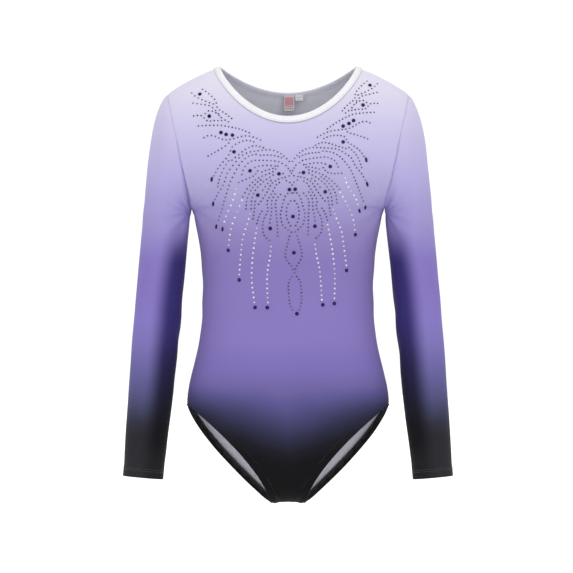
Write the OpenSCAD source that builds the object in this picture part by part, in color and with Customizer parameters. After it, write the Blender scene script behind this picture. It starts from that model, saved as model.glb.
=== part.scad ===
// Long-sleeved gymnastics leotard, worn shape, in millimetres.
// The front faces -Y, the wearer's left is +X and +Z is up.
// The origin is midway between the two high points of the shoulders.

/* [Body] */
// Length from the high point of the shoulder to the crotch
body_length = 553; // [490:1:690]
// Width across the underarms
chest_width = 244.6; // [204:0.1:300]
// Width at the narrowest part of the waist
waist_width = 217; // [180:1:265]
// Width at the hips, at the top of the leg openings
hip_width = 257; // [214:1:310]
// Drop from the high point of the shoulder to the underarm
underarm_drop = 178; // [150:1:215]
// Drop to the waist
waist_drop = 280; // [250:1:310]
// Drop to the top of the leg openings
hip_drop = 425; // [380:1:470]
// Width of the gusset between the leg openings
gusset_width = 44; // [36:1:56]
// Rise of the middle of the gusset above its edges
gusset_rise = 3; // [0:0.5:6]
// Thickness of the knitted fabric
fabric_t = 1; // [0.8:0.05:1.3]

/* [Depths from the side seam] */
// Front neckline
front_neck_depth = 54; // [45:1:65]
// Chest
chest_depth = 84; // [70:1:100]
// Front of the waist
front_waist_depth = 72; // [60:1:86]
// Belly
belly_depth = 80; // [68:1:96]
// Back neckline
back_neck_depth = 44; // [37:1:52]
// Shoulder blades
blade_depth = 70; // [60:1:84]
// Back of the waist
back_waist_depth = 57; // [48:1:68]
// Seat
seat_depth = 88; // [74:1:105]

/* [Neck and shoulders] */
// Width of the neckline between the high points of the shoulders
neck_width = 188; // [160:1:215]
// Depth of the front neckline
front_neck_drop = 69; // [55:0.1:82]
// Depth of the back neckline
back_neck_drop = 36.7; // [30:0.1:44]
// Width across the shoulder tips
shoulder_width = 307.4; // [280:0.1:350]
// Drop from the high point to the shoulder tip
shoulder_drop = 32; // [24:1:38]
// Depth of the armhole, front to back
armhole_depth = 104; // [88:1:120]
// Width of the binding round the neckline
binding_width = 8.4; // [7:0.1:10]
// Thickness of the folded binding
binding_t = 2.4; // [2.2:0.1:3]

/* [Sleeves] */
// Length of the sleeve below the underarm, along its middle
sleeve_length = 329; // [270:1:390]
// Lean of the hanging sleeve away from the body, in degrees
sleeve_lean = 5.16; // [4:0.1:8]
// Width of the sleeve at the upper arm
upper_arm_width = 60; // [54:1:72]
// Depth of the sleeve at the upper arm
upper_arm_depth = 72; // [62:1:84]
// Outer diameter of the cuff
cuff_d = 51; // [44:0.5:58]
// Width of the turned hem at the cuff
cuff_hem = 12; // [9:0.5:14]
// Gap that lets the sleeve head swing inside the armhole
head_clearance = 3; // [2.6:0.1:4]
// How far the sleeve can be raised, in degrees
raise_limit = 80; // [30:1:80]

/* [Legs] */
// Width of the elastic in the leg openings
leg_elastic_width = 8; // [6:0.5:10]
// Thickness of the elastic
elastic_t = 0.6; // [0.5:0.1:0.8]

/* [Seams and thread] */
// Width of an overlocked seam allowance
seam_width = 6; // [4:0.5:8]
// Thickness of an overlocked seam allowance
seam_t = 0.8; // [0.6:0.1:1]
// Gap between neighbouring pieces at a seam
seam_gap = 0.2; // [0.2:0.05:0.4]
// Gap between a piece and the one that covers it
layer_gap = 0.5; // [0.4:0.05:0.7]
// Thickness of the sewing thread
thread_d = 0.4; // [0.3:0.1:0.6]

/* [Labels] */
// Width of the maker's label
label_width = 13; // [10:0.5:14]
// Height of the maker's label
label_height = 19; // [14:0.5:24]
// Width of the size tab
tab_width = 10; // [8:0.5:14]
// Height of the size tab
tab_height = 8; // [7:0.5:12]
// Thickness of the label tape
label_t = 0.5; // [0.4:0.1:0.8]

/* [Crystals] */
// Diameter of the small dark crystals
dark_d = 2.2; // [1.8:0.1:3]
// Spacing of the small dark crystals along a strand
dark_pitch = 4.6; // [4:0.1:7]
// Diameter of the clear crystals
clear_d = 2.7; // [2:0.1:3.4]
// Spacing of the clear crystals along a strand
clear_pitch = 6.1; // [5:0.1:8]
// Diameter of the large round stones
round_d = 4.9; // [4:0.1:6]
// Width of the pointed oval stones
navette_width = 3.4; // [2.6:0.1:4]
// Length of the pointed oval stones
navette_length = 7.2; // [6:0.1:9]
// Height of a small crystal as a share of its diameter
crystal_rise = 0.42; // [0.3:0.01:0.5]
// Turn of the whole design on the chest, in degrees
motif_turn = 2.84; // [0:0.01:5]

/* [Hidden] */

// Half widths and levels that the surfaces are built from
neck_half = neck_width / 2;
shoulder_half = shoulder_width / 2;
underarm_half = chest_width / 2;
waist_half = waist_width / 2;
hip_half = hip_width / 2;
gusset_half = gusset_width / 2;
underarm_z = -underarm_drop;
waist_z = -waist_drop;
hip_z = -hip_drop;
crotch_z = -body_length;
yoke_z = mix(-shoulder_drop, underarm_z, 0.54);

// Shape of the curves between those levels
shoulder_curve = 0.68;
shoulder_round = 60;
armhole_round = 0.37 * (underarm_drop - shoulder_drop);
chest_taper = 2.2;
hip_flare = 1.5;
side_power = 2.3;
fold_power = 10;
front_neck_power = 0.8;
front_leg_power = 1.5;
back_leg_power = 1.4;
front_crotch_power = 1.29;
back_crotch_power = 1.54;
front_close_z = mix(hip_z, waist_z, 0.17);
back_close_z = mix(hip_z, crotch_z, 0.04);

// Depth of the body at a few levels, from the top down
front_depths = [[0, front_neck_depth - 8], [-front_neck_drop, front_neck_depth],
    [mix(yoke_z, underarm_z, 0.8), chest_depth], [waist_z, front_waist_depth],
    [mix(waist_z, hip_z, 0.62), belly_depth], [crotch_z, belly_depth]];
back_depths = [[0, back_neck_depth - 6], [-back_neck_drop, back_neck_depth],
    [mix(yoke_z, underarm_z, 0.15), blade_depth], [waist_z, back_waist_depth],
    [hip_z, seat_depth], [crotch_z, seat_depth]];

// Grid of each panel: columns on each half, and rows in each zone
half_columns = 14;
neck_columns = 8;
yoke_rows = 11;
armhole_rows = 6;
side_rows = 12;
leg_rows = 16;
panel_rows = yoke_rows + armhole_rows + side_rows + leg_rows;

// Sleeve: the armhole plane, the upper-arm section and the cuff
shoulder_tip = [shoulder_half, -shoulder_drop];
underarm_point = [underarm_half, underarm_z];
armhole_up = unit(shoulder_tip - underarm_point);
armhole_out = [armhole_up[1], -armhole_up[0]];
head_top = shoulder_tip - head_clearance * armhole_up + 1.5 * seam_gap * armhole_out;
head_bottom = underarm_point + head_clearance * armhole_up + 1.5 * seam_gap * armhole_out;
pivot = (shoulder_tip + underarm_point) / 2;
upper_arm_inner = underarm_point + [2.2, -12];
hip_clearance = 3;
hip_lean = atan((hip_half + hip_clearance - upper_arm_inner[0]) / (upper_arm_inner[1] - hip_z));
hang_lean = max(sleeve_lean, hip_lean);
arm_axis = [sin(hang_lean), -cos(hang_lean)];
arm_across = [cos(hang_lean), sin(hang_lean)];
upper_arm_tilt = 0.03;
upper_arm_middle = upper_arm_inner + upper_arm_width / 2 * [1, -upper_arm_tilt];
cuff_middle = upper_arm_middle + sleeve_length * arm_axis;
cap_top_handle = [22, -29];
cap_low_handle = [-7, 71];
head_rows = 9;
arm_rows = 13;
sleeve_sides = 24;
cuff_inner_r = (cuff_d / 2 - fabric_t) * cos(180 / sleeve_sides);
hem_outer_r = cuff_inner_r - seam_gap;
hem_inner_r = hem_outer_r - fabric_t;

// Trim
neck_steps = 2 * neck_columns;
leg_edge_gap = 0.8;
elastic_dip = 0.9;
needle_gap = 2.5;
opening_half = neck_half - 0.95 * binding_width;
under_fabric = fabric_t + layer_gap;
lining_reach = 62;
lining_margin = leg_elastic_width + 3;
label_above_neck = 2.9;
label_top_z = label_above_neck - back_neck_drop;
label_x = 1.5;
tab_x = label_x + label_width / 2 + 1.4 + tab_width / 2;
tab_top_z = label_top_z + 2.2;
label_back = min([for (x = [0, tab_x + tab_width / 2]) body_y(x, tab_top_z, 1)]);
label_y = label_back - binding_t / 2 - 2 * layer_gap - label_t;

// Centre of the crystal design, and how the left half lies on the drape
motif_x = 5.5;
motif_z = -154.6;
left_spread = 1.06;
left_shift = 6;
left_drop = 15;
glue_gap = 0.4;

// Small dark crystals: one half of each strand, across and down from the centre
dark_strands = [
    [[101, -133], [92, -126], [86, -119], [84, -111], [75, -104], [68, -97]],
    [[114, -129], [108, -124], [97, -119], [89, -116]],
    [[113, -118], [102, -116], [93, -114], [86, -108], [81, -101]],
    [[99, -106], [94, -109], [86, -106], [80, -100], [72, -94]],
    [[113, -104], [104, -104], [97, -98], [89, -98], [80, -97]],
    [[108, -93], [95, -93], [82, -92], [71, -88], [59, -82], [48, -75]],
    [[102, -80], [97, -82], [89, -81], [82, -77], [74, -74], [66, -73], [53, -72], [43, -69], [35, -65]],
    [[73, -70], [77, -68], [86, -65], [98, -60]],
    [[43, -63], [52, -66], [61, -66], [69, -64], [73, -57], [81, -51], [87, -46], [92, -38]],
    [[32, -55], [41, -58], [51, -56], [61, -52], [70, -49]],
    [[2, -36], [7, -42], [14, -48], [25, -52], [43, -51], [58, -49], [67, -44], [76, -37],
        [81, -26], [88, -16], [92, -8]],
    [[41, -47], [52, -45], [62, -39], [70, -29], [74, -23], [79, -10], [84, 4], [88, 18]],
    [[7, -31], [14, -36], [23, -38], [34, -39], [46, -39], [55, -34], [59, -26]],
    [[40, -26], [45, -20], [53, -18], [63, -18]],
    [[16, -31], [22, -24], [33, -20], [43, -15], [52, -7], [59, 2]],
    [[22, -20], [28, -16], [34, -12], [43, -3], [48, 8], [49, 21]],
    [[0, -21], [4, -17], [14, -15], [20, -12], [25, -8], [31, 3], [37, 12], [40, 16]],
    [[15, -10], [19, -7], [25, 4], [30, 14], [29, 24], [34, 36], [35, 47], [33, 56], [27, 62]],
    [[36, 25], [39, 30], [42, 40]],
    [[10, -21], [7, -12], [2, -9], [-1, -6]],
    [[5, -31], [3, -26], [-1, -21]],
    [[1, 4], [5, 4], [9, 9], [12, 20], [14, 30], [13, 38], [11, 44], [6, 49], [1, 53]],
    [[2, 14], [6, 20], [7, 28], [6, 37], [2, 45]],
    [[14, 5], [18, 10], [20, 16], [19, 29], [18, 40], [17, 57]],
    [[3, 58], [6, 70], [8, 82], [5, 90], [0, 97], [-2, 104]],
    [[0, 109], [4, 116], [5, 125], [4, 143], [1, 151]],
    [[11, -41], [18, -44], [27, -45.5], [36, -45.5]],
    [[19, -31], [28, -32.5], [38, -32], [43, -30.5]],
    [[22, -28], [29, -26.5], [35, -24.5]],
    [[37, -14.5], [43, -10], [50, -1], [54, 8], [55, 19]],
    [[25, -13], [30, -8.5], [35, -1.5]],
    [[44, 12], [45, 22], [46.5, 34]],
    [[20.5, 4], [24.5, 13], [24.5, 24], [26, 35], [26.5, 40]],
    [[74, -50], [81, -43], [86, -33], [88.5, -24]]];

// Clear crystals: one half of each hanging strand
clear_strands = [
    [[67, -12], [69, -4], [73, 4], [78, 12], [81, 22]],
    [[60, 6], [63, 12], [69, 24], [73, 34], [75, 46], [76, 54]],
    [[50, 27], [53, 37], [59, 55], [61, 72], [63, 98]],
    [[42, 46], [45, 66], [47, 84], [48, 110], [46, 139]],
    [[25, 70], [26, 82], [29, 100], [30, 120], [30, 140]]];

// Large round stones: pairs, then those on the middle line
round_pairs = [[104.5, -127.5], [94.5, -103], [81.5, -84], [75.5, -80.5], [68, -77.5], [67, -57.5],
    [49, -27], [15, -21], [3.5, -0.5], [41, 4.5], [26, 47], [76.5, 60], [63, 104.5], [45.5, 145.5],
    [31, 146.5]];
round_middle = [[-1, 33.5], [-2, 79], [-2, 156]];

// Pointed ovals: across, down, and how far the point leans
navette_pairs = [[94.7, -33.5, 10], [94, -3, 18], [90.7, 26, 22], [83, 30.5, 22]];

// Arithmetic
function mix(a, b, t) = a + (b - a) * t;
function clamp(t) = min(max(t, 0), 1);
function smooth(t) = let (c = clamp(t)) c * c * (3 - 2 * c);
function unit(v) = v / max(norm(v), 0.000001);
function quarter(t) = sqrt(1 - pow(1 - clamp(t), 2));
function lift3(p, y) = [p[0], y, p[1]];

// Smooth curve through a table of [level, value] pairs, levels falling
function slope(table, i) =
    let (a = table[max(i - 1, 0)], b = table[min(i + 1, len(table) - 1)]) (b[1] - a[1]) / (b[0] - a[0]);
function table_row(table, z, i = 0) =
    i >= len(table) - 2 || z >= table[i + 1][0] ? i : table_row(table, z, i + 1);
function table_value(table, z) =
    let (i = table_row(table, z), a = table[i], b = table[i + 1], h = b[0] - a[0])
    let (t = clamp((z - a[0]) / h), m = slope(table, i) * h, n = slope(table, i + 1) * h)
    (1 - smooth(t)) * a[1] + smooth(t) * b[1] + t * (1 - t) * ((1 - t) * m - t * n);

// Points at even spacing along a smooth curve through chosen points
function curve_point(p, t) =
    let (i = min(floor(t), len(p) - 2), f = t - i, a = p[max(i - 1, 0)], b = p[i])
    let (c = p[i + 1], d = p[min(i + 2, len(p) - 1)])
    b + f * (c - a) / 2 + f * f * (a - 2.5 * b + 2 * c - d / 2) + f * f * f * (1.5 * (b - c) + (d - a) / 2);
function curve_points(p, parts = 8) = [for (i = [0 : (len(p) - 1) * parts]) curve_point(p, i / parts)];
function run_length(q, i = 0, sum = 0) =
    i >= len(q) - 1 ? [sum] : concat([sum], run_length(q, i + 1, sum + norm(q[i + 1] - q[i])));
function at_length(q, run, s) =
    let (i = max([for (k = [0 : len(q) - 2]) if (run[k] <= s) k]))
    mix(q[i], q[i + 1], clamp((s - run[i]) / max(run[i + 1] - run[i], 0.000001)));
function spaced(p, pitch) =
    let (q = curve_points(p), run = run_length(q), total = run[len(run) - 1])
    let (n = max(round(total / pitch), 1))
    [for (k = [0 : n]) at_length(q, run, min(k * total / n, total - 0.001))];

// Outline of the body seen from the front
function ridge_z(x) =
    let (t = (x - neck_half) / (shoulder_half - neck_half))
    -shoulder_drop * (shoulder_curve * t + (1 - shoulder_curve) * t * t);
function armhole_x(z) = mix(underarm_half, shoulder_half, (z - underarm_z) / (-shoulder_drop - underarm_z));
function chest_x(z) =
    let (t = clamp((z - waist_z) / (underarm_z - waist_z)))
    mix(waist_half, underarm_half, pow(t, chest_taper));
function hip_x(z) =
    let (t = clamp((waist_z - z) / (waist_z - hip_z)))
    mix(waist_half, hip_half, smooth(pow(t, hip_flare)));
function wall_x(z) = z >= underarm_z ? armhole_x(z) : z >= waist_z ? chest_x(z) : hip_x(z);
function leg_level(s) = mix(hip_z, crotch_z, pow(sin(90 * s), 2));
function leg_share(z) = clamp((hip_z - z) / (hip_z - crotch_z));
function leg_x(z, side) =
    let (t = leg_share(z), f = side < 0 ? pow(1 - t, front_leg_power) : 1 - pow(t, back_leg_power))
    mix(gusset_half, hip_half, f);
function neckline_z(x, side) =
    let (s = 1 - pow(clamp(x / neck_half), 2))
    side < 0 ? -front_neck_drop * pow(s, front_neck_power) : -back_neck_drop * s;
function top_z(x, side) = x >= neck_half ? ridge_z(x) : neckline_z(x, side);

// How far the body stands out at a place in that outline; side is -1 in front and 1 behind
function crotch_close(z, start, power) =
    z >= start ? 1 : sqrt(max(0, 1 - pow(clamp((start - z) / (start - crotch_z)), power)));
function body_depth(z, side) =
    side < 0 ? table_value(front_depths, z) * crotch_close(z, front_close_z, front_crotch_power)
    : table_value(back_depths, z) * crotch_close(z, back_close_z, back_crotch_power);
function body_y(x, z, side) =
    let (across = clamp(abs(x) / wall_x(z)), arch = quarter((ridge_z(abs(x)) - z) / shoulder_round))
    let (hole = armhole_depth / 2 * quarter((z - underarm_z) / armhole_round), deep = body_depth(z, side))
    let (round = 1 - pow(across, side_power), above = (z - underarm_z) / (underarm_drop - shoulder_drop))
    let (low = deep * sqrt(round) + hole * pow(across, fold_power))
    let (high = hole + (deep - hole) * pow(round, 0.9))
    side * (seam_gap / 2 + arch * mix(low, high, smooth(above * 1.4)));
function gusset_lift(x, z) =
    gusset_rise * pow(leg_share(z), 8) * (1 - pow(clamp(abs(x) / gusset_half), 2));
function body_point(x, z, side) = [x, body_y(x, z, side), z + gusset_lift(x, z)];

// Rows and columns of a panel
function top_x(u) =
    let (h = neck_columns / half_columns)
    u <= h ? neck_half * sin(90 * u / h) : mix(neck_half, shoulder_half, (u - h) / (1 - h));
function row_level(row) =
    let (a = row - yoke_rows, b = a - armhole_rows, c = b - side_rows)
    a <= armhole_rows ? mix(underarm_z, yoke_z, pow(1 - a / armhole_rows, 1.7))
    : b <= side_rows ? mix(underarm_z, hip_z, pow(b / side_rows, 1.1))
    : leg_level(c / leg_rows);
function yoke_point(u, sign, f, side) =
    let (x = armhole_x(mix(-shoulder_drop, yoke_z, f)) * mix(top_x(u) / shoulder_half, sin(90 * u), f))
    body_point(sign * x, mix(top_z(top_x(u), side), yoke_z, f), side);
function level_point(u, sign, z, side) =
    let (wall = wall_x(z), edge = z >= hip_z ? wall : min(leg_x(z, side), wall))
    body_point(sign * wall * sin(u * asin(edge / wall)), z, side);
function panel_point(row, col, side) =
    let (u = abs(col) / half_columns, sign = col < 0 ? -1 : 1)
    row < yoke_rows ? yoke_point(u, sign, pow(row / yoke_rows, 1.8), side)
    : level_point(u, sign, row_level(row), side);
function panel_grid(side) =
    [for (row = [0 : panel_rows]) [for (col = [-half_columns : half_columns]) panel_point(row, col, side)]];

// Normals of a grid, and a copy of it pushed inwards
function pick(line, j, wrap) =
    wrap ? line[(j + len(line)) % len(line)] : line[min(max(j, 0), len(line) - 1)];
function grid_normal(g, i, j, wrap, turn) =
    let (down = g[min(i + 1, len(g) - 1)][j] - g[max(i - 1, 0)][j])
    let (along = pick(g[i], j + 1, wrap) - pick(g[i], j - 1, wrap), n = turn * unit(cross(down, along)))
    abs(g[i][j][1]) <= seam_gap ? unit([n[0], 0, n[2]]) : n;
function pushed_grid(g, depth, wrap = false, turn = 1) =
    [for (i = [0 : len(g) - 1])
        [for (j = [0 : len(g[i]) - 1]) g[i][j] - depth * grid_normal(g, i, j, wrap, turn)]];

// A closed sheet between two grids of points
function flat_list(g) = [for (row = g) for (p = row) p];
function two_faces(a, b, c, d) = [[a, b, c], [a, c, d]];
function rim_faces(loop, shift) =
    [for (e = loop) for (f = two_faces(e[1], e[0], e[0] + shift, e[1] + shift)) f];
function face_ring(n, m, wrap) =
    concat([for (j = [0 : m - (wrap ? 1 : 2)]) [j, (j + 1) % m]],
        [for (j = [0 : m - (wrap ? 1 : 2)]) [(n - 1) * m + (j + 1) % m, (n - 1) * m + j]],
        wrap ? [] : [for (i = [0 : n - 2]) [(i + 1) * m - 1, (i + 2) * m - 1]],
        wrap ? [] : [for (i = [0 : n - 2]) [(i + 1) * m, i * m]]);
module sheet(outer, inner, wrap = false, turn = 1) {
    n = len(outer);
    m = len(outer[0]);
    cells = [for (i = [0 : n - 2]) for (j = [0 : m - (wrap ? 1 : 2)]) [i * m + j, i * m + (j + 1) % m]];
    front = [for (c = cells) for (f = two_faces(c[0], c[1], c[1] + m, c[0] + m)) f];
    back = [for (f = front) [f[2] + n * m, f[1] + n * m, f[0] + n * m]];
    faces = concat(front, back, rim_faces(face_ring(n, m, wrap), n * m));
    turned = turn > 0 ? faces : [for (f = faces) [f[2], f[1], f[0]]];
    polyhedron(points = concat(flat_list(outer), flat_list(inner)), faces = turned);
}

// A section swept along a path; each frame is [place, across, outwards]
function frame_at(path, aim, i, closed) =
    let (n = len(path), before = path[closed ? (i + n - 1) % n : max(i - 1, 0)])
    let (tangent = unit(path[closed ? (i + 1) % n : min(i + 1, n - 1)] - before), reach = aim[i] - path[i])
    let (across = unit(reach - (reach * tangent) * tangent))
    [path[i], across, cross(across, tangent)];
function swept_ring(frame, section) = [for (s = section) frame[0] + s[0] * frame[1] + s[1] * frame[2]];
function cell_faces(a, b, c, d, other) = other ? two_faces(b, c, d, a) : two_faces(a, b, c, d);
module swept(path, aim, section, closed, other = false) {
    n = len(path);
    m = len(section);
    points = [for (i = [0 : n - 1]) for (p = swept_ring(frame_at(path, aim, i, closed), section)) p];
    sides = [for (i = [0 : n - (closed ? 1 : 2)]) for (j = [0 : m - 1])
        let (here = i * m, next = (i + 1) % n * m, k = (j + 1) % m)
        for (f = cell_faces(here + j, here + k, next + k, next + j, other)) f];
    ends = closed ? [] : [[for (j = [m - 1 : -1 : 0]) j], [for (j = [0 : m - 1]) (n - 1) * m + j]];
    polyhedron(points = points, faces = concat(sides, ends));
}
function bar(from, to, low, high) = [[from, high], [from, low], [to, low], [to, high]];
function dipped_bar(from, to, low, high) =
    [[from, high], [from, low], [to, low - elastic_dip], [to, high - elastic_dip]];

// Front and back panels
module panel(side) {
    grid = panel_grid(side);
    sheet(grid, pushed_grid(grid, fabric_t, false, -side), false, -side);
}
module front_panel() color("mediumpurple") panel(-1);
module back_panel() color("slateblue") panel(1);

// Sleeves: f runs from the armhole to the upper arm, then to the cuff
function cap_outer(f) =
    let (b = shoulder_tip + cap_top_handle, d = 2 * upper_arm_middle - upper_arm_inner)
    let (c = d + cap_low_handle)
    pow(1 - f, 3) * head_top + 3 * f * pow(1 - f, 2) * b + 3 * f * f * (1 - f) * c + pow(f, 3) * d;
function hole_shape(h) =
    let (tall = underarm_drop - shoulder_drop)
    quarter(h * tall / armhole_round) * quarter((1 - h) * tall / shoulder_round);
function sleeve_section(middle, half, depth, oval) =
    [for (k = [0 : sleeve_sides - 1])
        let (a = 360 * k / sleeve_sides, c = mix(hole_shape((1 + cos(a)) / 2), abs(sin(a)), oval))
        lift3(middle + cos(a) * half, -depth * sign(sin(a)) * c)];
function head_section(f) =
    let (outer = cap_outer(f), inner = mix(head_bottom, upper_arm_inner, f * f))
    let (deep = mix(armhole_depth / 2 - head_clearance, upper_arm_depth / 2, smooth(f)))
    sleeve_section((outer + inner) / 2, (outer - inner) / 2, deep, smooth(f));
function arm_section(f) =
    let (s = clamp(f * sleeve_length / (sleeve_length - cuff_hem - 2)))
    let (wide = mix(upper_arm_width, cuff_d, pow(s, 3)) / 2)
    let (deep = mix(upper_arm_depth, cuff_d, pow(s, 1.2)) / 2)
    let (across = unit(mix([1, -upper_arm_tilt], arm_across, s)))
    sleeve_section(mix(upper_arm_middle, cuff_middle, f), wide * across, deep, 1);
function arm_step(k) = k == arm_rows ? 1 : k / (arm_rows - 1) * (1 - (cuff_hem + 2) / sleeve_length);
function sleeve_grid() =
    concat([for (k = [0 : head_rows]) head_section(k / head_rows)],
        [for (k = [1 : arm_rows]) arm_section(arm_step(k))]);
module left_sleeve() {
    grid = sleeve_grid();
    color("slateblue") sheet(grid, pushed_grid(grid, fabric_t, true, -1), true, -1);
}
module right_sleeve() mirror([1, 0, 0]) left_sleeve();

// Turned hem inside the cuff, with the hole that the wrist goes through
module at_cuff(back) {
    place = cuff_middle - back * arm_axis;
    translate([place[0], 0, place[1]]) rotate([0, -hang_lean, 0]) children();
}
module left_cuff_hem() color("dimgray") at_cuff(seam_gap) difference() {
    cylinder(h = cuff_hem, r = hem_outer_r, $fn = 64);
    translate([0, 0, -1]) cylinder(h = cuff_hem + 2, r = hem_inner_r, $fn = 64);
}
module right_cuff_hem() mirror([1, 0, 0]) left_cuff_hem();

// Two parallel lines of stitching round the cuff
module left_cuff_stitching() color("black")
    for (row = [0, needle_gap]) at_cuff(cuff_hem - row - 1) rotate_extrude($fn = 64)
        translate([cuff_d / 2 + thread_d / 2 + glue_gap, 0]) circle(d = thread_d, $fn = 16);
module right_cuff_stitching() mirror([1, 0, 0]) left_cuff_stitching();

// Neckline: the seam of the binding, and the edge of the opening beyond it
function neck_seam_point(a) =
    let (side = a < 180 ? -1 : 1, x = neck_half * cos(a)) body_point(x, neckline_z(abs(x), side), side);
function neck_edge_point(a) =
    let (side = a < 180 ? -1 : 1, top = ridge_z(opening_half), s = pow(sin(a), 2))
    let (drop = (side < 0 ? front_neck_drop : back_neck_drop) - binding_width)
    let (z = top - (top + drop) * pow(s, side < 0 ? front_neck_power : 1))
    body_point(opening_half * cos(a), z, side);
function neck_angles() = [for (k = [0 : 2 * neck_steps - 1]) 180 * k / neck_steps];
module round_neck(section, other = false) {
    path = [for (a = neck_angles()) neck_seam_point(a)];
    aim = [for (a = neck_angles()) neck_edge_point(a)];
    swept(path, aim, section, true, other);
}
slot_half = elastic_t / 2 + 1.5 * seam_gap;
slot_depth = binding_width - 1.4;
binding_section = [[seam_gap, binding_t / 2], [seam_gap, slot_half], [slot_depth, slot_half],
    [slot_depth, -slot_half], [seam_gap, -slot_half], [seam_gap, -binding_t / 2],
    [binding_width, -binding_t / 2], [binding_width, binding_t / 2]];
module neck_binding() color("white") round_neck(binding_section);
module neck_elastic() color("whitesmoke")
    round_neck(bar(0.6, slot_depth - 0.3, -elastic_t / 2, elastic_t / 2), true);
module neck_stitching() color("gainsboro")
    round_neck(bar(1.2, 1.2 + thread_d, binding_t / 2 + glue_gap, binding_t / 2 + glue_gap + thread_d));

// Leg openings: the path runs down the front edge and up the back edge
function leg_point(s, side) = let (z = leg_level(s)) body_point(min(leg_x(z, side), wall_x(z)), z, side);
function depth_squared(x, z, side) = pow(body_y(x, z, side), 2);
function edge_normal(p, side) =
    let (here = depth_squared(p[0], p[2], side), dx = here - depth_squared(p[0] - 0.4, p[2], side))
    let (dz = depth_squared(p[0], p[2] + 0.4, side) - here) unit([-dx, 0.8 * p[1], -dz]);
function leg_side(k) = k < leg_rows ? -1 : 1;
function leg_loop() =
    [for (k = [0 : 2 * leg_rows - 1]) leg_point(k < leg_rows ? k / leg_rows : 2 - k / leg_rows, leg_side(k))];
function leg_inward(path, k) =
    let (n = len(path), along = unit(path[(k + 1) % n] - path[(k + n - 1) % n]))
    let (across = leg_elastic_width * cross(along, edge_normal(path[k], leg_side(k))))
    let (narrowing = wall_x(path[k][2] + across[2]) - wall_x(path[k][2]))
    path[k] + across + [narrowing, 0, gusset_lift(path[k][0] + across[0], path[k][2])];
function leg_aim(path) = [for (k = [0 : len(path) - 1]) leg_inward(path, k)];
module round_leg(section) {
    path = leg_loop();
    swept(path, leg_aim(path), section, true);
}
leg_elastic_section =
    dipped_bar(leg_edge_gap, leg_edge_gap + leg_elastic_width, -under_fabric - elastic_t, -under_fabric);
module left_leg_elastic() color("darkslategray") round_leg(leg_elastic_section);
module right_leg_elastic() mirror([1, 0, 0]) left_leg_elastic();
module left_leg_stitching() color("black")
    round_leg(bar(leg_elastic_width - 1, leg_elastic_width - 1 + thread_d, glue_gap, glue_gap + thread_d));
module right_leg_stitching() mirror([1, 0, 0]) left_leg_stitching();

// Overlocked seam allowances, folded towards the back
module allowance(path, aim)
    swept(path, aim, bar(1, 1 + seam_width, under_fabric, under_fabric + seam_t), false);
function shoulder_path(drop) =
    [for (k = [0 : 8]) let (x = mix(neck_half + 4, shoulder_half - 9, k / 8))
        body_point(x, ridge_z(x) - drop, 1)];
module left_shoulder_seam() color("lavender") allowance(shoulder_path(0), shoulder_path(1.3));
module right_shoulder_seam() mirror([1, 0, 0]) left_shoulder_seam();
function side_path(share) =
    let (levels = [for (k = [0 : side_rows]) row_level(yoke_rows + armhole_rows + k)], n = side_rows)
    let (p = [for (z = levels) body_point(share * wall_x(z), z, 1)])
    concat([mix(p[0], p[1], 0.5)], [for (k = [1 : n - 1]) p[k]], [mix(p[n - 1], p[n], 0.4)]);
module left_side_seam() color("darkslateblue") allowance(side_path(1), side_path(0.993));
module right_side_seam() mirror([1, 0, 0]) left_side_seam();
module left_armhole_seam() {
    grid = [for (f = [0.03, 0.06, 0.09, 0.12]) head_section(f)];
    outer = pushed_grid(grid, under_fabric, true, -1);
    color("lavender") sheet(outer, pushed_grid(grid, under_fabric + seam_t, true, -1), true, -1);
}
module right_armhole_seam() mirror([1, 0, 0]) left_armhole_seam();
function sleeve_seam_path(on) =
    [for (k = [12 : -1 : 0]) let (s = arm_section(mix(0.03, 0.9, k / 12))) s[sleeve_sides / 2 + on]];
module left_sleeve_seam() color("darkslateblue") allowance(sleeve_seam_path(0), sleeve_seam_path(1));
module right_sleeve_seam() mirror([1, 0, 0]) left_sleeve_seam();
module crotch_seam() {
    top = crotch_z + under_fabric + elastic_t + 2 * layer_gap;
    path = [for (x = [-12 : 4 : 12]) [x, 0, top + gusset_lift(x, crotch_z)]];
    color("black") swept(path, [for (p = path) p + [0, 1, 0]], bar(-2, 2, -seam_t, 0), false);
}

// Lining of the gusset, from the front of the crotch to the back of it
function lining_row(s) =
    let (side = s < 0 ? -1 : 1, z = crotch_z + lining_reach * s * s)
    let (half = min(leg_x(z, side) - lining_margin, 1.2 * gusset_half))
    [for (j = [-4 : 4]) body_point(half * j / 4, z, side)];
module gusset_lining() {
    grid = [for (k = [-9 : 9]) lining_row(k / 9 + 0.001)];
    outer = pushed_grid(grid, under_fabric);
    color("black") sheet(outer, pushed_grid(grid, under_fabric + elastic_t));
}

// Labels: each hangs from its sewn top edge
module hanging_label(x, top, width, height) translate([x - width / 2, label_y, top - height])
    cube([width, label_t, height]);
module neck_label() color("pink") hanging_label(label_x, label_top_z, label_width, label_height);
module size_tab() color("white") hanging_label(tab_x, tab_top_z, tab_width, tab_height);

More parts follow.
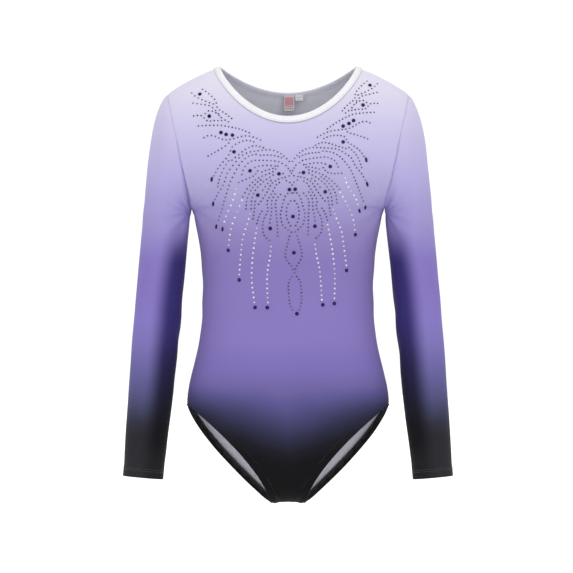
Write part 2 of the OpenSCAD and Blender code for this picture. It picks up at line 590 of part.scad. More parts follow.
// Crystals: a place in the design, then the same place on the front panel
function draped(p, half) =
    half > 0 ? p
    : [-left_spread * p[0] - left_shift * clamp(p[1] / 110),
        p[1] + left_drop * smooth((p[0] - 45) / 45) * clamp((p[1] + 130) / 90)];
function on_chest(p) =
    [motif_x + p[0] * cos(motif_turn) + p[1] * sin(motif_turn),
        motif_z - p[1] * cos(motif_turn) + p[0] * sin(motif_turn)];
function chest_normal(x, z) =
    let (dx = body_y(x + 0.5, z, -1) - body_y(x - 0.5, z, -1))
    let (dz = body_y(x, z + 0.5, -1) - body_y(x, z - 0.5, -1)) unit([dx, -1, dz]);
module on_front(p, half, lean = 0) {
    q = on_chest(draped(p, half));
    n = chest_normal(q[0], q[1]);
    place = [q[0], body_y(q[0], q[1], -1), q[1]] + glue_gap * n;
    translate(place) rotate([90 - asin(n[2]), 0, atan2(n[0], -n[1])]) rotate([0, 0, half * lean]) children();
}
module crystal(d) cylinder(h = crystal_rise * d, d1 = d, d2 = 0.55 * d, $fn = 16);
module both_halves(strands, pitch) for (half = [-1, 1]) for (strand = strands) for (p = spaced(strand, pitch))
    on_front(p, half) children();
module dark_crystals() color("darkslategray") both_halves(dark_strands, dark_pitch) crystal(dark_d);
module clear_crystals() color("white") both_halves(clear_strands, clear_pitch) crystal(clear_d);
module round_stones() color("indigo") {
    for (half = [-1, 1]) for (p = round_pairs) on_front(p, half) crystal(round_d);
    for (p = round_middle) on_front(p, 1) crystal(round_d);
}
module navette_stones() color("indigo")
    for (half = [-1, 1]) for (p = navette_pairs) on_front(p, half, p[2]) navette();
module navette() {
    bow = (pow(navette_length, 2) + pow(navette_width, 2)) / (4 * navette_width);
    linear_extrude(height = crystal_rise * navette_width) intersection_for (s = [-1, 1])
        translate([s * (bow - navette_width / 2), 0]) circle(r = bow, $fn = 96);
}

front_panel();
back_panel();
left_sleeve();
right_sleeve();
left_cuff_hem();
right_cuff_hem();
neck_binding();
neck_elastic();
neck_stitching();
left_leg_elastic();
right_leg_elastic();
left_leg_stitching();
right_leg_stitching();
left_shoulder_seam();
right_shoulder_seam();
left_side_seam();
right_side_seam();
left_armhole_seam();
right_armhole_seam();
left_sleeve_seam();
right_sleeve_seam();
left_cuff_stitching();
right_cuff_stitching();
crotch_seam();
gusset_lining();
neck_label();
size_tab();
dark_crystals();
clear_crystals();
round_stones();
navette_stones();
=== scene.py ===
import bpy
import bmesh
import math
import random
from mathutils import Matrix, Vector, noise


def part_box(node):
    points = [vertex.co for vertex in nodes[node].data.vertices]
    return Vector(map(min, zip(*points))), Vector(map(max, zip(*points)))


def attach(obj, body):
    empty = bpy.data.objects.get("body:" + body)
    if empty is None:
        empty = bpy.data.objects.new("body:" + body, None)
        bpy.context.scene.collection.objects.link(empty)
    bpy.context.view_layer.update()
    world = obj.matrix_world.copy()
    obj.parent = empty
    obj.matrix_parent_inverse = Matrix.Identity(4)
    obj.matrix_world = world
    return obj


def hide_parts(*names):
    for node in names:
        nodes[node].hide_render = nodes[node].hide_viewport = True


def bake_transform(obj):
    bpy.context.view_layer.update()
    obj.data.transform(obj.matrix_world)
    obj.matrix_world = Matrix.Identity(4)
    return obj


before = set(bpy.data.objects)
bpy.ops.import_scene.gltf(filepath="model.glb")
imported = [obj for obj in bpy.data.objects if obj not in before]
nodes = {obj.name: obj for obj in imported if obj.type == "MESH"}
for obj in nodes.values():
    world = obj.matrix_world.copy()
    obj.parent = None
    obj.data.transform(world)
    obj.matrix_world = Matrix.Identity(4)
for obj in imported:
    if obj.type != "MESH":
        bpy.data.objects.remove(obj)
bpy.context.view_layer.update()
mm = 0.001
print("frame loaded:", len(nodes), "nodes")

# camera first: level, far back, so that the sides stay almost parallel
view = {"distance": 9.0, "width": 0.7277, "x": -0.0019, "z": -0.2762}
cameraData = bpy.data.cameras.new("studioCamera")
camera = bpy.data.objects.new("studioCamera", cameraData)
bpy.context.scene.collection.objects.link(camera)
cameraData.sensor_width = 36
cameraData.lens = 36 * view["distance"] / view["width"]
cameraData.clip_end = 60
camera.location = (view["x"], -view["distance"], view["z"])
camera.rotation_euler = (math.radians(90), 0, 0)
bpy.context.scene.camera = camera


# little sums used all over
def mix(a, b, t):
    return a + (b - a) * t


def clamp(t):
    return min(max(t, 0.0), 1.0)


def smooth(t):
    t = clamp(t)
    return t * t * (3 - 2 * t)


def hump(t, middle, width):
    return math.exp(-((t - middle) / width) ** 2)


def quarter(t):
    return math.sqrt(1 - (1 - clamp(t)) ** 2)


def levelValue(table, z):
    # smooth curve through (level, value) pairs, levels falling
    last = len(table) - 1
    i = 0
    while i < last - 1 and z < table[i + 1][0]:
        i += 1

    def slope(k):
        a, b = table[max(k - 1, 0)], table[min(k + 1, last)]
        return (b[1] - a[1]) / (b[0] - a[0])

    a, b = table[i], table[i + 1]
    h = b[0] - a[0]
    t = clamp((z - a[0]) / h)
    return (1 - smooth(t)) * a[1] + smooth(t) * b[1] + t * (1 - t) * ((1 - t) * slope(i) - t * slope(i + 1)) * h


# the body's shape, in mm; side is -1 in front and 1 behind
cut = {
    "neckHalf": 94, "shoulderHalf": 153.7, "underarmHalf": 122.3, "waistHalf": 108.5, "hipHalf": 128.5,
    "gussetHalf": 22, "shoulderZ": -32, "underarmZ": -178, "waistZ": -280, "hipZ": -425, "crotchZ": -553,
    "yokeZ": -110.84, "frontNeck": 69, "backNeck": 36.7, "armholeHalf": 52, "gussetRise": 3, "cornerRound": 6.5,
}
frontDepths = [(0, 46), (-69, 54), (-164.57, 84), (-280, 72), (-369.9, 80), (-553, 80)]
backDepths = [(0, 38), (-36.7, 44), (-120.91, 70), (-280, 57), (-425, 88), (-553, 88)]


def ridgeZ(x):
    t = (abs(x) - cut["neckHalf"]) / (cut["shoulderHalf"] - cut["neckHalf"])
    return cut["shoulderZ"] * (0.68 * t + 0.32 * t * t)


def armholeX(z):
    return mix(cut["underarmHalf"], cut["shoulderHalf"], (z - cut["underarmZ"]) / (cut["shoulderZ"] - cut["underarmZ"]))


def wallX(z):
    if z >= cut["underarmZ"]:
        return armholeX(z)
    if z >= cut["waistZ"]:
        t = clamp((z - cut["waistZ"]) / (cut["underarmZ"] - cut["waistZ"]))
        return mix(cut["waistHalf"], cut["underarmHalf"], t ** 2.2)
    t = clamp((cut["waistZ"] - z) / (cut["waistZ"] - cut["hipZ"]))
    return mix(cut["waistHalf"], cut["hipHalf"], smooth(t ** 1.5))


def legShare(z):
    return clamp((cut["hipZ"] - z) / (cut["hipZ"] - cut["crotchZ"]))


def legX(z, side):
    t = legShare(z)
    corner = cut["cornerRound"] * (1 - quarter((z - cut["crotchZ"]) / cut["cornerRound"] / 1.6))
    return mix(cut["gussetHalf"], cut["hipHalf"], (1 - t) ** 1.5 if side < 0 else 1 - t ** 1.4) - corner


def necklineZ(x, side):
    s = 1 - clamp(abs(x) / cut["neckHalf"]) ** 2
    return -cut["frontNeck"] * s ** 0.8 if side < 0 else -cut["backNeck"] * s


def topZ(x, side):
    return ridgeZ(x) if x >= cut["neckHalf"] else necklineZ(x, side)


def bodyDepth(z, side):
    start, power = (-400.35, 1.29) if side < 0 else (-430.12, 1.54)
    close = 1.0
    if z < start:
        close = math.sqrt(max(0.0, 1 - clamp((start - z) / (start - cut["crotchZ"])) ** power))
    return levelValue(frontDepths if side < 0 else backDepths, z) * close


def bodyY(x, z, side):
    across = clamp(abs(x) / wallX(z))
    arch = quarter((ridgeZ(x) - z) / 60)
    hole = cut["armholeHalf"] * quarter((z - cut["underarmZ"]) / 54.02)
    deep = bodyDepth(z, side)
    rounded = 1 - across ** 2.3
    low = deep * math.sqrt(max(rounded, 0)) + hole * across ** 10
    high = hole + (deep - hole) * max(rounded, 0) ** 0.9
    return side * (0.1 + arch * mix(low, high, smooth((z - cut["underarmZ"]) / 146 * 1.4)))


def bodyPoint(x, z, side):
    lift = cut["gussetRise"] * legShare(z) ** 8 * (1 - clamp(abs(x) / cut["gussetHalf"]) ** 2)
    return Vector((x, bodyY(x, z, side), z + lift))


def bodyNormal(x, z, side):
    dx = bodyY(x + 0.5, z, side) - bodyY(x - 0.5, z, side)
    dz = bodyY(x, z + 0.5, side) - bodyY(x, z - 0.5, side)
    return Vector((-side * dx, side, -side * dz)).normalized()


def panelPoint(col, row, side):
    # col -1..1 across; row 0 top edge, 0.3 yoke, 0.42 underarm, 0.72 hip, 1 crotch
    u, sign = abs(col), -1 if col < 0 else 1
    if row < 0.3:
        f = (row / 0.3) ** 1.6
        h = 0.56
        x = cut["neckHalf"] * math.sin(math.pi / 2 * u / h) if u <= h else mix(cut["neckHalf"], cut["shoulderHalf"], (u - h) / (1 - h))
        share = mix(x / cut["shoulderHalf"], math.sin(math.pi / 2 * u), f)
        edge = armholeX(mix(cut["shoulderZ"], cut["yokeZ"], f))
        return bodyPoint(sign * edge * share, mix(topZ(x, side), cut["yokeZ"], f), side)
    if row < 0.42:
        z = mix(cut["yokeZ"], cut["underarmZ"], 1 - (1 - (row - 0.3) / 0.12) ** 1.4)
    elif row < 0.72:
        z = mix(cut["underarmZ"], cut["hipZ"], ((row - 0.42) / 0.3) ** 1.1)
    else:
        z = mix(cut["hipZ"], cut["crotchZ"], math.sin(math.pi / 2 * (row - 0.72) / 0.28))
    wall = wallX(z)
    edge = wall if z >= cut["hipZ"] else min(legX(z, side), wall)
    return bodyPoint(sign * wall * math.sin(u * math.asin(edge / wall)), z, side)


# the sleeve's shape, for the wearer's left; y is mirrored front to back
sleeve = {
    "tip": Vector((153.7, -32)), "underarm": Vector((122.3, -178)), "inner": Vector((124.5, -190)),
    "middle": Vector((154.5, -190.9)), "cuff": Vector((184.089, -518.567)), "length": 329,
    "upperWidth": 60, "upperDepth": 72, "cuffD": 51, "hem": 12, "lean": math.radians(5.16), "headShare": 0.26,
}
armAxis = Vector((math.sin(sleeve["lean"]), 0, -math.cos(sleeve["lean"])))
armAcross = Vector((math.cos(sleeve["lean"]), 0, math.sin(sleeve["lean"])))


def holeShape(h):
    z = mix(cut["underarmZ"], cut["shoulderZ"], h)
    return quarter((z - cut["underarmZ"]) / 54.02) * quarter((ridgeZ(armholeX(z)) - z) / 60)


def sleevePoint(turn, row):
    # turn 0..1 round the arm from the underarm seam; row 0 armhole, headShare upper arm, 1 cuff
    a = math.pi + 2 * math.pi * turn
    if row < sleeve["headShare"]:
        f = row / sleeve["headShare"]
        d = 2 * sleeve["middle"] - sleeve["inner"]
        b, c = sleeve["tip"] + Vector((22, -29)), d + Vector((-7, 71))
        outer = (1 - f) ** 3 * sleeve["tip"] + 3 * f * (1 - f) ** 2 * b + 3 * f * f * (1 - f) * c + f ** 3 * d
        inner = sleeve["underarm"].lerp(sleeve["inner"], f * f)
        middle, half = (outer + inner) / 2, (outer - inner) / 2
        depth = mix(cut["armholeHalf"], sleeve["upperDepth"] / 2, smooth(f))
        bow = mix(holeShape((1 + math.cos(a)) / 2), abs(math.sin(a)), smooth(f))
    else:
        f = (row - sleeve["headShare"]) / (1 - sleeve["headShare"])
        s = clamp(f * sleeve["length"] / (sleeve["length"] - sleeve["hem"] - 2))
        wide = mix(sleeve["upperWidth"], sleeve["cuffD"], s ** 3) / 2
        depth = mix(sleeve["upperDepth"], sleeve["cuffD"], s ** 1.2) / 2
        half = wide * Vector((1, -0.03)).lerp(Vector((armAcross.x, armAcross.z)), s).normalized()
        middle = sleeve["middle"].lerp(sleeve["cuff"], f)
        bow = abs(math.sin(a))
    p = middle + math.cos(a) * half
    return Vector((p[0], -depth * bow * (1 if math.sin(a) >= 0 else -1), p[1]))


def sleeveInside(turn, row, depth):
    # a point that far inside the sleeve's face
    p = sleevePoint(turn, row)
    round = sleevePoint(turn + 0.004, row) - sleevePoint(turn - 0.004, row)
    down = sleevePoint(turn, row + 0.004) - sleevePoint(turn, max(row - 0.004, 0))
    out = round.cross(down).normalized()
    return p - depth * (out if out.dot(p - sleeveMiddle(p.z)) > 0 else -out)


def sleeveMiddle(z):
    # a point inside the sleeve at about that level
    return Vector((mix(138, 184, clamp((-105 - z) / 413)), 0, z))


# turning shapes into pieces
def toObject(name, bm, materials, smoothFaces=True):
    for v in bm.verts:
        v.co *= mm
    mesh = bpy.data.meshes.new(name)
    bm.to_mesh(mesh)
    bm.free()
    for m in materials:
        mesh.materials.append(m)
    for p in mesh.polygons:
        p.use_smooth = smoothFaces
    obj = bpy.data.objects.new(name, mesh)
    bpy.context.scene.collection.objects.link(obj)
    return obj


def clothGrid(across, along, place, size, inside, puff=None, paint=None, mirrored=False):
    # a grid laid out as cloth: place(s, t) gives each point, puff lifts it off its own face
    bm = bmesh.new()
    uv = bm.loops.layers.uv.new("clothMap")
    layers = [bm.verts.layers.float.new(key) for key in ("dyeLevel", "airbrushAndShade")] if paint else []
    bmesh.ops.create_grid(bm, x_segments=across, y_segments=along, size=1)
    spots = {v: ((v.co.x + 1) / 2, (v.co.y + 1) / 2) for v in bm.verts}
    for face in bm.faces:
        for loop in face.loops:
            s, t = spots[loop.vert]
            loop[uv].uv = (s * size[0], t * size[1])
    flip = Vector((-1, 1, 1)) if mirrored else Vector((1, 1, 1))
    for v, (s, t) in spots.items():
        v.co = place(s, t) * flip
    bm.normal_update()
    out = sum((f.calc_center_median() - inside(f.calc_center_median().z) * flip).dot(f.normal) for f in bm.faces)
    if out < 0:
        bmesh.ops.reverse_faces(bm, faces=bm.faces[:])
        bm.normal_update()
    rest = {v: v.co * flip for v in bm.verts}
    if puff:
        moved = {v: v.normal * puff(s, t, rest[v]) for v, (s, t) in spots.items()}
        for v, step in moved.items():
            v.co += step
    if paint:
        for v, (s, t) in spots.items():
            for layer, value in zip(layers, paint(s, t, rest[v])):
                v[layer] = value
    bmesh.ops.remove_doubles(bm, verts=bm.verts[:], dist=0.0005)
    return bm


def solidify(obj, thickness, inner=0, even=True):
    skin = obj.modifiers.new("thickness", "SOLIDIFY")
    skin.thickness = thickness * mm
    skin.offset = -1
    skin.use_even_offset = even
    skin.use_rim = True
    skin.material_offset = inner
    return obj


def frames(path, aim, closed):
    # place, across and outwards at each point of a path, as the seams are laid out
    n, made = len(path), []
    for i, p in enumerate(path):
        before = path[(i - 1) % n] if closed else path[max(i - 1, 0)]
        after = path[(i + 1) % n] if closed else path[min(i + 1, n - 1)]
        tangent = (after - before).normalized()
        reach = aim[i] - p
        across = (reach - reach.dot(tangent) * tangent).normalized()
        made.append((p, across, across.cross(tangent), tangent))
    return made


def sweptBmesh(frameList, section, closedPath, closedSection, mirrored=False):
    n, m = len(frameList), len(section)
    bm = bmesh.new()
    uv = bm.loops.layers.uv.new("clothMap")
    bmesh.ops.create_grid(bm, x_segments=m if closedSection else m - 1, y_segments=n if closedPath else n - 1, size=1)
    wide = m if closedSection else m - 1
    tall = n if closedPath else n - 1
    spots = {v: (round((v.co.x + 1) / 2 * wide), round((v.co.y + 1) / 2 * tall)) for v in bm.verts}
    run = [0.0]
    for i in range(tall):
        run.append(run[-1] + (frameList[(i + 1) % n][0] - frameList[i][0]).length)
    reach = [0.0]
    for j in range(wide):
        reach.append(reach[-1] + (Vector(section[(j + 1) % m]) - Vector(section[j])).length)
    for face in bm.faces:
        for loop in face.loops:
            j, i = spots[loop.vert]
            loop[uv].uv = (reach[j] * mm, run[i] * mm)
    for v, (j, i) in spots.items():
        p, across, out, _ = frameList[i % n]
        q = section[j % m]
        v.co = p + q[0] * across + q[1] * out
        if mirrored:
            v.co.x = -v.co.x
    bmesh.ops.remove_doubles(bm, verts=bm.verts[:], dist=0.0005)
    if closedSection and not closedPath:
        bmesh.ops.holes_fill(bm, edges=[e for e in bm.edges if e.is_boundary], sides=0)
    if closedSection:
        bmesh.ops.recalc_face_normals(bm, faces=bm.faces[:])
    return bm


def threads(name, runs, radius, material, sides=1, closed=False, mirrored=False):
    # each run of points is one thread
    curve = bpy.data.curves.new(name, "CURVE")
    curve.dimensions = "3D"
    curve.bevel_depth = radius * mm
    curve.bevel_resolution = sides
    curve.use_fill_caps = True
    for run in runs:
        spline = curve.splines.new("POLY")
        spline.points.add(len(run) - 1)
        for point, p in zip(spline.points, run):
            point.co = (-p.x * mm if mirrored else p.x * mm, p.y * mm, p.z * mm, 1)
        spline.use_cyclic_u = closed
    shape = bpy.data.objects.new(name, curve)
    bpy.context.scene.collection.objects.link(shape)
    bpy.context.view_layer.update()
    mesh = bpy.data.meshes.new_from_object(shape.evaluated_get(bpy.context.evaluated_depsgraph_get()))
    mesh.name = name
    bpy.data.objects.remove(shape)
    bpy.data.curves.remove(curve)
    mesh.materials.clear()
    mesh.materials.append(material)
    for p in mesh.polygons:
        p.use_smooth = True
    obj = bpy.data.objects.new(name, mesh)
    bpy.context.scene.collection.objects.link(obj)
    return obj


def walk(path, pitch, closed):
    # points and directions at an even pitch along a path
    pts = path + [path[0]] if closed else path
    run = [0.0]
    for a, b in zip(pts, pts[1:]):
        run.append(run[-1] + (b - a).length)
    n = max(int(round(run[-1] / pitch)), 1)
    made, i = [], 0
    for k in range(n + 1):
        s = min(run[-1] * k / n, run[-1] - 1e-6)
        while run[i + 1] < s:
            i += 1
        made.append((i, (s - run[i]) / max(run[i + 1] - run[i], 1e-9)))
    return made


def frameBetween(frameList, spot, closed):
    i, f = spot
    a, b = frameList[i], frameList[(i + 1) % len(frameList)]
    return a[0].lerp(b[0], f), a[1].lerp(b[1], f).normalized(), a[2].lerp(b[2], f).normalized(), a[3].lerp(b[3], f).normalized()


def stitchRow(frameList, inset, rise, pitch, share, closed):
    # separate straight stitches that dive into the cloth at both ends
    runs = []
    spots = walk([f[0] for f in frameList], pitch, closed)
    for spot in spots[:-1]:
        p, across, out, tangent = frameBetween(frameList, spot, closed)
        base = p + inset * across
        half = pitch * share / 2
        runs.append([base - half * tangent + (rise - 0.3) * out, base - half * 0.6 * tangent + rise * out,
                     base + half * 0.6 * tangent + rise * out, base + half * tangent + (rise - 0.3) * out])
    return runs


def zigzag(frameList, low, high, rise, pitch, closed):
    spots = walk([f[0] for f in frameList], pitch / 2, closed)
    if closed:
        spots = spots[:len(spots) // 2 * 2]
    run = []
    for k, spot in enumerate(spots):
        p, across, out, _ = frameBetween(frameList, spot, closed)
        run.append(p + (low if k % 2 else high) * across + rise * out)
    return run


# materials
def shade(r, g, b):
    # a screen colour as the renderer counts it
    return tuple((c / 12.92 if c <= 0.04045 else ((c + 0.055) / 1.055) ** 2.4) for c in (r / 255, g / 255, b / 255)) + (1.0,)


def newMaterial(name):
    material = bpy.data.materials.new(name)
    material.use_nodes = True
    tree = material.node_tree
    return material, tree, tree.nodes["Principled BSDF"]


def node(tree, kind, inputs=(), **settings):
    made = tree.nodes.new("ShaderNode" + kind)
    for key, value in settings.items():
        setattr(made, key, value)
    for key, value in dict(inputs).items():
        if hasattr(value, "is_output"):
            tree.links.new(value, made.inputs[key])
        else:
            made.inputs[key].default_value = value
    return made


def maths(tree, operation, a, b=None, c=None, clampIt=False):
    inputs = {0: a}
    if b is not None:
        inputs[1] = b
    if c is not None:
        inputs[2] = c
    return node(tree, "Math", inputs, operation=operation, use_clamp=clampIt).outputs[0]


def blendColour(tree, share, a, b, kind="MIX"):
    made = node(tree, "Mix", data_type="RGBA", blend_type=kind)
    for key, value in ((0, share), (6, a), (7, b)):
        if hasattr(value, "is_output"):
            tree.links.new(value, made.inputs[key])
        else:
            made.inputs[key].default_value = value
    return made.outputs[2]


def clothCoords(tree):
    uv = node(tree, "UVMap", uv_map="clothMap").outputs[0]
    parts = node(tree, "SeparateXYZ", {0: uv})
    return uv, parts.outputs[0], parts.outputs[1]


def knitHeight(tree, wale, course):
    # rows of small vees, as the face of a fine jersey has
    _, u, v = clothCoords(tree)
    across = maths(tree, "FRACT", maths(tree, "DIVIDE", u, wale))
    fold = maths(tree, "ABSOLUTE", maths(tree, "SUBTRACT", across, 0.5))
    vee = maths(tree, "SINE", maths(tree, "MULTIPLY", maths(tree, "ADD", maths(tree, "DIVIDE", v, course), fold), 2 * math.pi))
    groove = maths(tree, "SINE", maths(tree, "MULTIPLY", across, math.pi))
    return maths(tree, "ADD", maths(tree, "MULTIPLY", vee, 0.3), groove)


def ramp(tree, source, stops):
    made = node(tree, "ValToRGB", {0: source})
    elements = made.color_ramp.elements
    while len(elements) < len(stops):
        elements.new(0.5)
    for element, (position, colour) in zip(elements, sorted(stops)):
        element.position = position
        element.color = colour
    return made.outputs[0]


knit = {"wale": 0.0011, "course": 0.0009, "bump": 0.22, "depth": 0.00025, "roughness": 0.62, "sheen": 0.05, "specular": 0.06}


def finishKnit(tree, bsdf, colour, sheen=None, roughness=None, bump=None):
    uv, _, _ = clothCoords(tree)
    flecks = node(tree, "TexNoise", {"Vector": uv, "Scale": 900, "Detail": 2}).outputs[0]
    clouds = node(tree, "TexNoise", {"Vector": uv, "Scale": 22, "Detail": 3}).outputs[0]
    tone = maths(tree, "ADD", maths(tree, "MULTIPLY", flecks, 0.10), maths(tree, "MULTIPLY", clouds, 0.06))
    tone = maths(tree, "ADD", tone, 0.92)
    toned = node(tree, "HueSaturation", {"Color": colour, "Value": tone}).outputs[0]
    tree.links.new(toned, bsdf.inputs["Base Color"])
    bumped = node(tree, "Bump", {"Height": knitHeight(tree, knit["wale"], knit["course"])})
    bumped.inputs["Strength"].default_value = knit["bump"] if bump is None else bump
    bumped.inputs["Distance"].default_value = knit["depth"]
    tree.links.new(bumped.outputs[0], bsdf.inputs["Normal"])
    bsdf.inputs["Roughness"].default_value = roughness or knit["roughness"]
    bsdf.inputs["Sheen Weight"].default_value = knit["sheen"] if sheen is None else sheen
    bsdf.inputs["Sheen Roughness"].default_value = 0.45
    bsdf.inputs["Specular IOR Level"].default_value = knit["specular"]


# print colours by height on the body: (level in mm below the shoulder, screen colour)
bodyDye = [
    (0, (238, 233, 247)), (-27, (229, 224, 243)), (-57, (217, 211, 240)), (-88, (205, 198, 236)), (-120, (192, 185, 229)),
    (-150, (179, 172, 217)), (-180, (166, 155, 209)), (-210, (152, 138, 196)), (-242, (142, 126, 191)), (-300, (141, 125, 194)),
    (-345, (140, 124, 194)), (-380, (129, 115, 186)), (-408, (114, 104, 166)), (-424, (98, 92, 152)), (-439, (84, 80, 130)),
    (-456, (67, 65, 105)), (-472, (48, 48, 74)), (-488, (31, 30, 39)), (-505, (21, 20, 24)), (-556, (15, 14, 15)),
]
# sleeve print by height; the lift towards the cuff end is painted sheen, not print
sleeveDyeAndSheen = [
    (0, (238, 233, 247)), (-40, (220, 214, 241)), (-90, (203, 195, 234)), (-140, (186, 178, 228)), (-170, (173, 164, 219)),
    (-205, (162, 149, 209)), (-240, (141, 126, 198)), (-270, (138, 122, 196)), (-320, (140, 125, 200)), (-350, (130, 120, 187)),
    (-378, (113, 106, 168)), (-397, (101, 97, 151)), (-415, (87, 86, 130)), (-432, (70, 72, 102)), (-449, (53, 51, 66)),
    (-466, (44, 43, 49)), (-560, (50, 49, 54)),
]
# painted shadow colour for the thin line under the neck binding, on the body
bodySeamShadow = [(0, (40, 36, 84)), (-560, (40, 36, 84))]
# the sleeves' inner airbrush is print and painted shade together: violet print, darkening to near black towards the
# cuffs as painted shade
sleeveBrushAndShade = [(0, (50, 44, 108)), (-330, (48, 42, 106)), (-370, (34, 32, 72)), (-412, (26, 26, 44)), (-450, (20, 20, 24)), (-560, (26, 26, 28))]
dyeSpan = 560.0


def dyeStops(table):
    return [(clamp(-z / dyeSpan), shade(*colour)) for z, colour in table]


def printedKnit(name, table, brushAndShade):
    material, tree, bsdf = newMaterial(name)
    height = node(tree, "Attribute", attribute_name="dyeLevel").outputs["Fac"]
    colour = ramp(tree, height, dyeStops(table))
    # the second paint attribute mixes in painted shade on body and sleeves, and the sleeves' printed airbrush
    dark = node(tree, "Attribute", attribute_name="airbrushAndShade").outputs["Fac"]
    colour = blendColour(tree, dark, colour, ramp(tree, height, dyeStops(brushAndShade)))
    finishKnit(tree, bsdf, colour)
    return material


def plainKnit(name, colour, sheen=None, roughness=None, bump=None):
    material, tree, bsdf = newMaterial(name)
    uv, _, _ = clothCoords(tree)
    cloudy = node(tree, "TexNoise", {"Vector": uv, "Scale": 60, "Detail": 2}).outputs[0]
    light = tuple(min(c * 1.06, 1) for c in colour[:3]) + (1,)
    dull = tuple(c * 0.94 for c in colour[:3]) + (1,)
    finishKnit(tree, bsdf, blendColour(tree, cloudy, dull, light), sheen, roughness, bump)
    return material


def threadMaterial(name, colour):
    material, tree, bsdf = newMaterial(name)
    place = node(tree, "TexCoord").outputs["Object"]
    twist = node(tree, "TexWave", {"Vector": place, "Scale": 900, "Distortion": 2}, wave_type="BANDS", bands_direction="DIAGONAL").outputs[1]
    dull = tuple(c * 0.7 for c in colour[:3]) + (1,)
    tree.links.new(blendColour(tree, twist, dull, colour), bsdf.inputs["Base Color"])
    bumped = node(tree, "Bump", {"Height": twist, "Strength": 0.4, "Distance": 0.00008})
    tree.links.new(bumped.outputs[0], bsdf.inputs["Normal"])
    bsdf.inputs["Roughness"].default_value = 0.55
    bsdf.inputs["Sheen Weight"].default_value = 0.3
    return material


def elasticMaterial(name, colour):
    material, tree, bsdf = newMaterial(name)
    place = node(tree, "TexCoord").outputs["Object"]
    ribs = node(tree, "TexWave", {"Vector": place, "Scale": 260, "Distortion": 0.4}, wave_type="BANDS", bands_direction="DIAGONAL").outputs[1]
    dull = tuple(c * 0.75 for c in colour[:3]) + (1,)
    tree.links.new(blendColour(tree, ribs, dull, colour), bsdf.inputs["Base Color"])
    bumped = node(tree, "Bump", {"Height": ribs, "Strength": 0.5, "Distance": 0.0002})
    tree.links.new(bumped.outputs[0], bsdf.inputs["Normal"])
    bsdf.inputs["Roughness"].default_value = 0.8
    return material


def labelMaterial(name, ground, block, mark, blockFrom, tallOver):
    # a woven label: a plain block above, short generic dashes below, no lettering
    material, tree, bsdf = newMaterial(name)
    _, u, v = clothCoords(tree)
    colour = ground
    if block:
        high = maths(tree, "GREATER_THAN", v, blockFrom[0])
        low = maths(tree, "LESS_THAN", v, blockFrom[1])
        wide = maths(tree, "MULTIPLY", maths(tree, "GREATER_THAN", u, blockFrom[2]), maths(tree, "LESS_THAN", u, blockFrom[3]))
        inside = maths(tree, "MULTIPLY", maths(tree, "MULTIPLY", high, low), wide)
        weave = maths(tree, "SINE", maths(tree, "MULTIPLY", maths(tree, "ADD", u, v), 5200))
        soft = blendColour(tree, maths(tree, "MULTIPLY_ADD", weave, 0.2, 0.3), block, ground)
        colour = blendColour(tree, inside, ground, soft)
    rows = maths(tree, "GREATER_THAN", maths(tree, "SINE", maths(tree, "MULTIPLY", v, 2 * math.pi / 0.0027)), 0.35)
    dashes = maths(tree, "GREATER_THAN", maths(tree, "SINE", maths(tree, "MULTIPLY", maths(tree, "ADD", u, maths(tree, "MULTIPLY", v, 0.7)), 2 * math.pi / 0.0031)), -0.2)
    band = maths(tree, "MULTIPLY", maths(tree, "GREATER_THAN", v, tallOver[0]), maths(tree, "LESS_THAN", v, tallOver[1]))
    side = maths(tree, "MULTIPLY", maths(tree, "GREATER_THAN", u, 0.0016), maths(tree, "LESS_THAN", u, tallOver[2]))
    marks = maths(tree, "MULTIPLY", maths(tree, "MULTIPLY", rows, dashes), maths(tree, "MULTIPLY", band, side))
    colour = blendColour(tree, marks, colour, mark)
    tree.links.new(colour, bsdf.inputs["Base Color"])
    satin = maths(tree, "SINE", maths(tree, "MULTIPLY", v, 2 * math.pi / 0.0005))
    bumped = node(tree, "Bump", {"Height": satin, "Strength": 0.25, "Distance": 0.0001})
    tree.links.new(bumped.outputs[0], bsdf.inputs["Normal"])
    bsdf.inputs["Roughness"].default_value = 0.45
    bsdf.inputs["Sheen Weight"].default_value = 0.2
    return material


def stoneMaterial(name, dark, light, metallic, roughness, coat, gloss=0.5):
    # each stone has its own tone, kept in the attribute stoneTone
    material, tree, bsdf = newMaterial(name)
    tone = node(tree, "Attribute", attribute_name="stoneTone").outputs["Fac"]
    place = node(tree, "TexCoord").outputs["Object"]
    facet = node(tree, "TexNoise", {"Vector": place, "Scale": 700, "Detail": 0}).outputs[0]
    share = maths(tree, "MULTIPLY_ADD", facet, 0.4, maths(tree, "SUBTRACT", tone, 0.2), clampIt=True)
    tree.links.new(blendColour(tree, share, dark, light), bsdf.inputs["Base Color"])
    bsdf.inputs["Metallic"].default_value = metallic
    bsdf.inputs["Roughness"].default_value = roughness
    bsdf.inputs["Coat Weight"].default_value = coat
    bsdf.inputs["Coat Roughness"].default_value = 0.03
    bsdf.inputs["Specular IOR Level"].default_value = gloss
    return material


bodyKnit = printedKnit("ombreBodyKnitSeamShadow", bodyDye, bodySeamShadow)
sleeveKnit = printedKnit("ombreSleeveKnitShadeSheen", sleeveDyeAndSheen, sleeveBrushAndShade)
knitReverse = plainKnit("knitReverse", shade(243, 243, 255), sheen=0.1, roughness=0.8)
blackKnit = plainKnit("blackKnit", shade(30, 29, 32), sheen=0.12)
bindingKnit = plainKnit("bindingKnit", shade(248, 247, 252), sheen=0.2)
